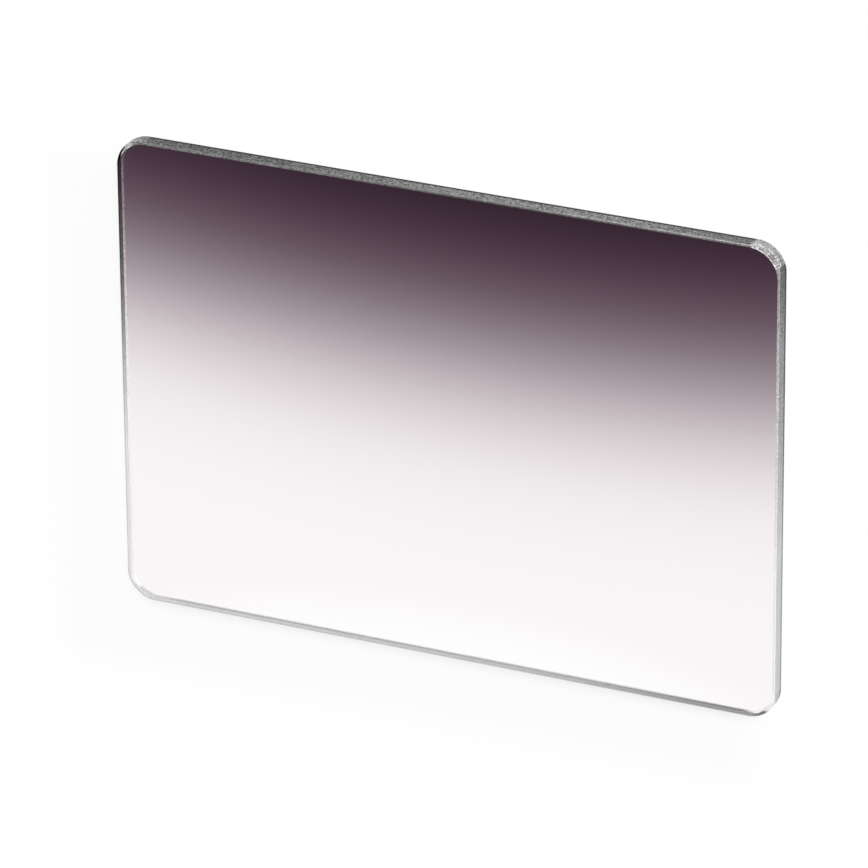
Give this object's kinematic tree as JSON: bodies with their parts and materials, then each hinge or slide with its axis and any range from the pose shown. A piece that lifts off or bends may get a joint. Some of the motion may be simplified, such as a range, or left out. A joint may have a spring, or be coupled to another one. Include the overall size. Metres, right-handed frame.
{
  "type": "rectangular graduated neutral density filter",
  "caption": "Flat rectangular glass plate with rounded corners and ground, bevelled edges; a dark coat along its upper long side fades softly to clear.",
  "frame": {"origin": "middle of the back face, which the plate lies on", "axes": "+X along the long side, +Y towards the dark edge, +Z out of the coated face"},
  "size_m": [0.1436, 0.1016, 0.004],
  "materials": {
    "coated_glass": "polished faces, the upper one coated from dark plum grey at +Y to clear at -Y, with ground satin edges"
  },
  "bodies": {
    "root": {"filter_plate": "coated_glass"}
  },
  "joints": []
}
